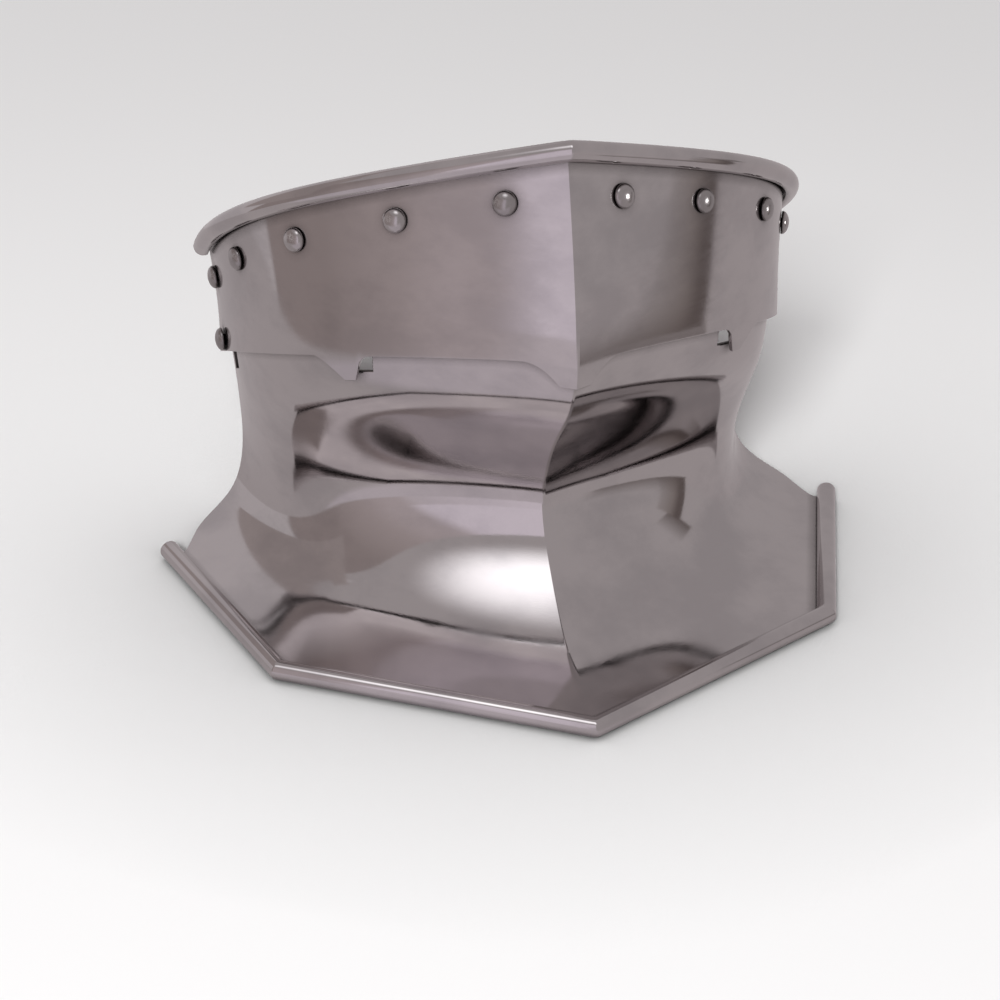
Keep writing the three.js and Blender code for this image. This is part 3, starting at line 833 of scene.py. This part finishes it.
def buffed_finish():
    group = bpy.data.node_groups.new("buffed finish", "ShaderNodeTree")
    add_socket(group, "Bright Steel", "INPUT", "NodeSocketColor", (0.6, 0.57, 0.58, 1))
    add_socket(group, "Cloudy Steel", "INPUT", "NodeSocketColor", (0.5, 0.47, 0.48, 1))
    add_socket(group, "Smooth", "INPUT", "NodeSocketFloat", 0.18)
    add_socket(group, "Rough", "INPUT", "NodeSocketFloat", 0.3)
    # Painted shade and grime: the dark colour that closed places get
    add_socket(group, "Grime Color", "INPUT", "NodeSocketColor", (0.06, 0.05, 0.048, 1))
    add_socket(group, "Openness", "INPUT", "NodeSocketFloat", 1)
    add_socket(group, "Color", "OUTPUT", "NodeSocketColor")
    add_socket(group, "Roughness", "OUTPUT", "NodeSocketFloat")
    add_socket(group, "Height", "OUTPUT", "NodeSocketFloat")
    inputs = add_node(group, "NodeGroupInput")
    outputs = add_node(group, "NodeGroupOutput")
    place = add_node(group, "ShaderNodeTexCoord").outputs["Object"]
    clouds = scaled_noise(group, place, "clouds", *CLOUDS)
    marks = scaled_noise(group, place, "buffing marks", *BUFFING_MARKS)
    scratches = scaled_noise(group, place, "fine scratches", *FINE_SCRATCHES)
    # How closed a place is sets its painted shade and grime, which also roughen it
    shade_and_grime = ramp(group, inputs.outputs["Openness"], "grime in corners", *SHADE_AND_GRIME_RANGE, 1, 0)
    wear = times_plus(group, "patches and marks", marks, MARKS_IN_WEAR, clouds)
    smooth, rough = inputs.outputs["Smooth"], inputs.outputs["Rough"]
    clean = ramp(group, wear, "roughness", *WEAR_RANGE, smooth, rough)
    results = {
        "Color": steel_colour(group, inputs, clouds, shade_and_grime),
        "Roughness": times_plus(group, "rougher with grime", shade_and_grime, GRIME_ROUGHNESS, clean),
        "Height": times_plus(group, "marks and scratches", marks, MARKS_IN_HEIGHT, scratches),
    }
    for name, result in results.items():
        link(group, result, outputs.inputs[name])
    return group


BUFFED = buffed_finish()
print("Finish group:", [item.name for item in BUFFED.interface.items_tree])

# %% [markdown]
# ## Three steels
# The outside is polished. The inside doesn't show in the photograph, and here it is plain, dull and
# darker. The rivets are polished less than the plates. Corners are found by an ambient occlusion
# node, which measures how much a place is closed in within a few millimetres. There the steel is
# painted darker, as grime and as painted shade in the crevice. This darkening could be painted by
# hand, but this way it stays in place when a plate changes its shape.

# %% Steel for the plates and for the rivets
# Reach and samples of the ambient occlusion that places the painted shade and grime
SHADE_AND_GRIME_REACH = 0.0045
SHADE_AND_GRIME_SAMPLES = 3
SCRATCH_STRENGTH = 0.35


def steel(name, bright, cloudy, smooth, rough, scratch_depth):
    material = bpy.data.materials.new(name)
    material.use_nodes = True
    tree = material.node_tree
    shader = tree.nodes["Principled BSDF"]
    shader.inputs["Metallic"].default_value = 1
    finish = add_node(tree, "ShaderNodeGroup", "buffed finish", node_tree=BUFFED)
    finish.inputs["Bright Steel"].default_value = (*bright, 1)
    finish.inputs["Cloudy Steel"].default_value = (*cloudy, 1)
    finish.inputs["Smooth"].default_value = smooth
    finish.inputs["Rough"].default_value = rough
    # Ambient occlusion finds the closed places for the painted shade and grime
    corners = add_node(tree, "ShaderNodeAmbientOcclusion", "how open the place is", samples=SHADE_AND_GRIME_SAMPLES)
    corners.inputs["Distance"].default_value = SHADE_AND_GRIME_REACH
    link(tree, corners.outputs["AO"], finish.inputs["Openness"])
    bump = add_node(tree, "ShaderNodeBump", "scratches")
    bump.inputs["Strength"].default_value = SCRATCH_STRENGTH
    bump.inputs["Distance"].default_value = scratch_depth
    link(tree, finish.outputs["Height"], bump.inputs["Height"])
    link(tree, finish.outputs["Color"], shader.inputs["Base Color"])
    link(tree, finish.outputs["Roughness"], shader.inputs["Roughness"])
    link(tree, bump.outputs["Normal"], shader.inputs["Normal"])
    return material


PLATE_STEEL = steel(
    "plate steel", bright=(0.6, 0.57, 0.57), cloudy=(0.51, 0.485, 0.49),
    smooth=0.055, rough=0.12, scratch_depth=0.00001)
DULL_STEEL = steel(
    "dull steel", bright=(0.2, 0.19, 0.185), cloudy=(0.12, 0.11, 0.105),
    smooth=0.42, rough=0.6, scratch_depth=0.00004)
RIVET_STEEL = steel(
    "rivet steel", bright=(0.5, 0.475, 0.475), cloudy=(0.36, 0.34, 0.34),
    smooth=0.15, rough=0.24, scratch_depth=0.00002)
for plate in (chin_plate, throat_plate):
    plate.data.materials.append(PLATE_STEEL)
    plate.data.materials.append(DULL_STEEL)
for rivet in rivets:
    rivet.data.materials.append(RIVET_STEEL)
print("Steels:", PLATE_STEEL.name, DULL_STEEL.name, RIVET_STEEL.name)

# %% [markdown]
# ## The floor and the walls
# Polished steel shows its surroundings more than itself, so the studio is part of the material. The
# floor is plain and pale, a little shaded under and round the gorget, and far away it runs into the
# walls, like a paper sweep. White paper would turn the steel white as well. So a ray that comes off
# the steel finds a grey floor and grey walls, as if a photographer had laid grey paper out of view.

# %% The floor
FLOOR_SIZE = 8
FLOOR_ROUGHNESS = 0.9
FLOOR_SHINE = 0.1
FLOOR_SHADE_REACH = 0.2
FLOOR_SHADE_SAMPLES = 2
OPEN_FLOOR_RANGE = (0.25, 0.85)
DEEPEST_SHADE = 0.06
FAR_FLOOR_RANGE = (0.5, 2.2)
FLOOR_PALE = (0.88, 0.88, 0.88, 1)
WALLS_SEEN = (0.9, 0.9, 0.9, 1)
FLOOR_IN_STEEL = (0.46, 0.42, 0.425, 1)
FRONT_IN_STEEL = (0.6, 0.545, 0.58, 1)
FRONT_PATCH_DEPTH = (-0.07, -0.03)
FRONT_PATCH_LEFT_END = (-0.45, -0.35)
FRONT_PATCH_RIGHT_END = (0.04, -0.05)


def front_patch(tree):
    """1 on the floor to the left in front of the gorget, where the floor's painted glow in the steel is
    brighter, fading to 0 round it.
    """
    place = add_node(tree, "ShaderNodeSeparateXYZ")
    link(tree, add_node(tree, "ShaderNodeTexCoord").outputs["Object"], place.inputs["Vector"])
    patch = ramp(tree, place.outputs["Y"], "ahead", *FRONT_PATCH_DEPTH, 1, 0)
    for label, end in (("left end", FRONT_PATCH_LEFT_END), ("right end", FRONT_PATCH_RIGHT_END)):
        share = ramp(tree, place.outputs["X"], label, *end, 0, 1)
        both = add_node(tree, "ShaderNodeMath", label, operation="MULTIPLY")
        link(tree, patch, both.inputs[0])
        link(tree, share, both.inputs[1])
        patch = both.outputs[0]
    return patch


def floor_seen(tree):
    """The pale floor, shaded close to the gorget and as pale as the walls far away."""
    matt = tree.nodes["Principled BSDF"]
    matt.inputs["Roughness"].default_value = FLOOR_ROUGHNESS
    matt.inputs["Specular IOR Level"].default_value = FLOOR_SHINE
    enclosed = add_node(tree, "ShaderNodeAmbientOcclusion", "shade close to the gorget",
                        samples=FLOOR_SHADE_SAMPLES)
    enclosed.inputs["Distance"].default_value = FLOOR_SHADE_REACH
    open_floor = ramp(tree, enclosed.outputs["AO"], "open floor", *OPEN_FLOOR_RANGE, DEEPEST_SHADE, 1)
    pale = add_node(tree, "ShaderNodeMix", "floor colour", data_type="RGBA")
    pale.inputs["A"].default_value = (0, 0, 0, 1)
    pale.inputs["B"].default_value = FLOOR_PALE
    link(tree, open_floor, pale.inputs["Factor"])
    link(tree, pale.outputs["Result"], matt.inputs["Base Color"])
    wall = add_node(tree, "ShaderNodeEmission", "as pale as the walls")
    wall.inputs["Color"].default_value = WALLS_SEEN
    far = add_node(tree, "ShaderNodeVectorMath", "distance from the gorget", operation="LENGTH")
    link(tree, add_node(tree, "ShaderNodeTexCoord").outputs["Object"], far.inputs[0])
    share = ramp(tree, far.outputs["Value"], "far floor", *FAR_FLOOR_RANGE, 0, 1)
    return mixed(tree, "floor runs into the walls", share, matt.outputs["BSDF"], wall.outputs["Emission"])


def floor_reflected(tree):
    """The painted grey glow that the steel finds where the floor is, brighter to the left in front."""
    tone = add_node(tree, "ShaderNodeMix", "tone in the steel", data_type="RGBA")
    tone.inputs["A"].default_value = FLOOR_IN_STEEL
    tone.inputs["B"].default_value = FRONT_IN_STEEL
    link(tree, front_patch(tree), tone.inputs["Factor"])
    grey = add_node(tree, "ShaderNodeEmission", "floor in the steel")
    link(tree, tone.outputs["Result"], grey.inputs["Color"])
    return grey.outputs["Emission"]


def studio_floor():
    mesh = bpy.data.meshes.new("studio_floor")
    half = FLOOR_SIZE / 2
    corners = [(-half, -half, 0), (half, -half, 0), (half, half, 0), (-half, half, 0)]
    mesh.from_pydata(corners, [], [(0, 1, 2, 3)])
    floor = bpy.data.objects.new("studio_floor", mesh)
    scene.collection.objects.link(floor)
    material = bpy.data.materials.new("pale floor")
    material.use_nodes = True
    tree = material.node_tree
    off_steel = add_node(tree, "ShaderNodeLightPath").outputs["Is Glossy Ray"]
    surface = mixed(tree, "seen or reflected", off_steel, floor_seen(tree), floor_reflected(tree))
    link(tree, surface, tree.nodes["Material Output"].inputs["Surface"])
    mesh.materials.append(material)


studio_floor()
print("The floor is", FLOOR_SIZE, "m wide")

# %% The walls
WALLS_IN_STEEL = (0.45, 0.415, 0.42, 1)
WALL_LIGHT_ON_FLOOR = 0.45


def studio_walls():
    """Pale walls for the eye, toned down for the steel and for the light on the floor."""
    world = bpy.data.worlds.new("studio walls")
    world.use_nodes = True
    scene.world = world
    tree = world.node_tree
    walls = tree.nodes["Background"]
    path = add_node(tree, "ShaderNodeLightPath")
    colour = add_node(tree, "ShaderNodeMix", "seen or reflected", data_type="RGBA")
    colour.inputs["A"].default_value = WALLS_IN_STEEL
    colour.inputs["B"].default_value = WALLS_SEEN
    link(tree, path.outputs["Is Camera Ray"], colour.inputs["Factor"])
    strength = add_node(tree, "ShaderNodeMapRange", "weaker on the floor")
    strength.inputs["To Min"].default_value = 1
    strength.inputs["To Max"].default_value = WALL_LIGHT_ON_FLOOR
    link(tree, path.outputs["Is Diffuse Ray"], strength.inputs["Value"])
    link(tree, colour.outputs["Result"], walls.inputs["Color"])
    link(tree, strength.outputs["Result"], walls.inputs["Strength"])


studio_walls()
print("Walls as the steel finds them:", WALLS_IN_STEEL[:3])

# %% [markdown]
# ## The lights
# One large soft box in front, a little to the left, lights the floor. The steel would show it as a
# white square, so it is kept out of the reflections. The rivets of each side have a small lamp of
# their own for their bright spots. Light linking keeps these two lamps off the plates.

# %% The soft box and the lights on the rivets
AIM = Vector((0, 0, 0.08))
RIVET_LIGHT_SIZE = 0.26
RIVET_LIGHT_DISTANCE = 1


def around(azimuth, elevation, distance):
    """A place round the object. Azimuth 0 is in front of it, and 90 is towards +X."""
    azimuth, elevation = math.radians(azimuth), math.radians(elevation)
    flat = distance * math.cos(elevation)
    return Vector((flat * math.sin(azimuth), -flat * math.cos(azimuth), distance * math.sin(elevation)))


def facing(direction):
    return direction.to_track_quat("Z", "Y").to_euler()


def area_light(name, place, size, power):
    """A square light aimed at the gorget, with its place counted from the aim."""
    data = bpy.data.lights.new(name, "AREA")
    data.size = size
    data.energy = power
    light = bpy.data.objects.new(name, data)
    light.location = AIM + place
    light.rotation_euler = facing(light.location - AIM)
    scene.collection.objects.link(light)
    return light


def rivet_light(side, azimuth, elevation, power):
    """A small light that only the rivets of one side receive."""
    name = f"light on the {side} rivets"
    receivers = bpy.data.collections.new(name)
    for rivet in rivets:
        if f"_{side}" in rivet.name:
            receivers.objects.link(rivet)
    light = area_light(name, around(azimuth, elevation, RIVET_LIGHT_DISTANCE), RIVET_LIGHT_SIZE, power)
    light.light_linking.receiver_collection = receivers


rivet_light("left", azimuth=-82, elevation=14, power=1.6)
rivet_light("right", azimuth=60, elevation=12, power=1.3)
softbox = area_light("key softbox", around(azimuth=-22, elevation=35, distance=4), size=1.3, power=230)
softbox.visible_glossy = False

# %% [markdown]
# ## The cards
# A photographer of metal shapes its reflections with cards that stand out of view: pale ones for a
# lit side, dark ones for depth along an edge. The chin plate shows a broad grey card that pales
# towards the keel, and the right side ends in dark bands. A photo of a room could stand in for all
# of it, but cards can be moved one at a time. Here a card is a glowing mesh with a tone at each
# point. Rays off the steel find it, and the camera, the floor and the shadows don't.

# %% A card that only the steel sees
def reflected_card(name, points, faces, tones):
    """A glowing card. Each of its points has a tone and how far the card covers what is behind."""
    mesh = bpy.data.meshes.new(name)
    mesh.from_pydata(points, [], faces)
    attribute = mesh.color_attributes.new("tone", "FLOAT_COLOR", "POINT")
    attribute.data.foreach_set("color", np.array(tones, dtype=float).ravel())
    material = bpy.data.materials.new(name)
    material.use_nodes = True
    tree = material.node_tree
    tree.nodes.remove(tree.nodes["Principled BSDF"])
    tone = add_node(tree, "ShaderNodeVertexColor", "card tone", layer_name="tone")
    glow = add_node(tree, "ShaderNodeEmission", "glow")
    clear = add_node(tree, "ShaderNodeBsdfTransparent", "clear")
    link(tree, tone.outputs["Color"], glow.inputs["Color"])
    surface = mixed(tree, "card or clear", tone.outputs["Alpha"],
                    clear.outputs["BSDF"], glow.outputs["Emission"])
    link(tree, surface, tree.nodes["Material Output"].inputs["Surface"])
    mesh.materials.append(material)
    card = bpy.data.objects.new(name, mesh)
    scene.collection.objects.link(card)
    card.visible_camera = False
    card.visible_diffuse = False
    card.visible_shadow = False
    return card


# Ray depth counts how many surfaces a ray has left, so this lies between one and two
RAY_DEPTH_LIMIT = 1.5


def only_in_second_reflections(card):
    """Lets the card be seen only by a ray that has left the steel twice or more."""
    tree = card.data.materials[0].node_tree
    path = add_node(tree, "ShaderNodeLightPath")
    twice = add_node(tree, "ShaderNodeMath", "second reflection", operation="GREATER_THAN")
    link(tree, path.outputs["Ray Depth"], twice.inputs[0])
    twice.inputs[1].default_value = RAY_DEPTH_LIMIT
    mix = next(node for node in tree.nodes if node.type == "MIX_SHADER")
    cover = mix.inputs["Fac"].links[0].from_socket
    share = add_node(tree, "ShaderNodeMath", "cover", operation="MULTIPLY")
    link(tree, cover, share.inputs[0])
    link(tree, twice.outputs[0], share.inputs[1])
    link(tree, share.outputs[0], mix.inputs["Fac"])


# %% Bend the cards
CARD_DISTANCE = 0.5
CARD_STEPS = 48
CARD_RINGS = 12
CARD_SIDES = 32


def curved_card(name, low, high, stops, foot=1, head=1, lean=0, distance=CARD_DISTANCE):
    """A card on an arc, with tones given at azimuths. foot and head say how solid its edges are."""
    azimuths = [azimuth for azimuth, _ in stops]
    points, faces, tones = [], [], []
    for step in range(CARD_STEPS + 1):
        azimuth = azimuths[0] + (azimuths[-1] - azimuths[0]) * step / CARD_STEPS
        below, above = around(azimuth, 0, distance), around(azimuth + lean, 0, distance)
        tone = [np.interp(azimuth, azimuths, [tone[i] for _, tone in stops]) for i in range(3)]
        points += [(below.x, below.y, low), (above.x, above.y, high)]
        tones += [(*tone, foot), (*tone, head)]
        if step:
            first = 2 * step - 2
            faces.append((first, first + 2, first + 3, first + 1))
    return reflected_card(name, points, faces, tones)


def round_card(name, azimuth, elevation, distance, radius, tone):
    """A round card that is brightest in the middle and fades away to its edge."""
    middle = AIM + around(azimuth, elevation, distance)
    turn = facing(middle - AIM).to_matrix()
    points, faces, tones = [middle], [], [(*tone, 1)]
    for ring in range(1, CARD_RINGS + 1):
        share = ring / CARD_RINGS
        cover = (1 + math.cos(math.pi * share)) / 2
        outer = 1 + (ring - 1) * CARD_SIDES
        inner = outer - CARD_SIDES
        for side in range(CARD_SIDES):
            angle = math.tau * side / CARD_SIDES
            spot = Vector((math.cos(angle), math.sin(angle), 0)) * radius * share
            points.append(middle + turn @ spot)
            tones.append((*tone, cover))
            after = (side + 1) % CARD_SIDES
            if ring == 1:
                faces.append((0, 1 + side, 1 + after))
            else:
                faces.append((inner + side, outer + side, outer + after, inner + after))
    return reflected_card(name, points, faces, tones)


print("A curved card has", CARD_STEPS, "faces, and a round one", CARD_RINGS * CARD_SIDES)

# %% [markdown]
# Under the chin the throat plate reflects itself, and the photograph shows a bright band there. A
# card for that band stands in the way of the left cards, so rays that have left the steel once pass
# through it, and only those that have left it twice or more find it.

# %% Place the cards
REAR = (0.55, 0.51, 0.52)
DIM = (0.37, 0.32, 0.315)
LEFT = (0.33, 0.28, 0.275)
MIDDLE = (0.43, 0.37, 0.37)
NEAR_KEEL = (0.51, 0.445, 0.455)
BESIDE = (0.62, 0.56, 0.59)
KEEL = (0.8, 0.73, 0.8)
RIGHT = (0.37, 0.335, 0.335)
SHADY = (0.26, 0.225, 0.215)
DARK = (0.14, 0.115, 0.11)
SECOND = (1, 0.94, 0.96)
BRIGHT = (2, 1.98, 2.03)

# Heights low and high in metres, and tones at azimuths in degrees
curved_card("rear left card", 0, 0.6, ((-178, REAR), (-107, REAR)))
curved_card("upper left card", 0.18, 0.6, ((-130, DIM), (-80, DIM)), lean=-33, distance=0.49)
curved_card("left card", 0.11, 0.5, (
    (-106, LEFT), (-80, LEFT), (-60, MIDDLE), (-52, NEAR_KEEL), (-47, NEAR_KEEL),
    (-44.5, KEEL), (-30, KEEL),
))
curved_card("lower left card", 0, 0.11, (
    (-106, LEFT), (-80, LEFT), (-60, MIDDLE), (-50, NEAR_KEEL), (-47, NEAR_KEEL),
    (-44.5, BESIDE), (-30, KEEL),
))
curved_card("right card", 0, 0.2, ((69, RIGHT), (75, SHADY), (78, DARK), (81, DARK)), lean=9)
curved_card("upper right card", 0.19, 0.27, ((83, DARK), (96, DARK)), head=0)
curved_card("low right card", -0.03, 0.09, ((60, DARK), (82, DARK)), head=0, distance=0.42)
round_card("bright card", azimuth=-55, elevation=67, distance=1.3, radius=0.46, tone=BRIGHT)

# A low strip that fades in from its foot, and a tall one above it
for low, high, foot in ((0.1, 0.2, 0), (0.2, 0.7, 1)):
    stops = ((-125, SECOND), (-28, SECOND))
    card = curved_card("second card", low, high, stops, foot=foot, distance=0.48)
    only_in_second_reflections(card)

# %% [markdown]
# ## Finish
# The polished plates are built to fill the same box as the solids. The last step shows the picture with
# Blender's Standard view transform.

# %% Finish the view
scene.view_settings.view_transform = "Standard"
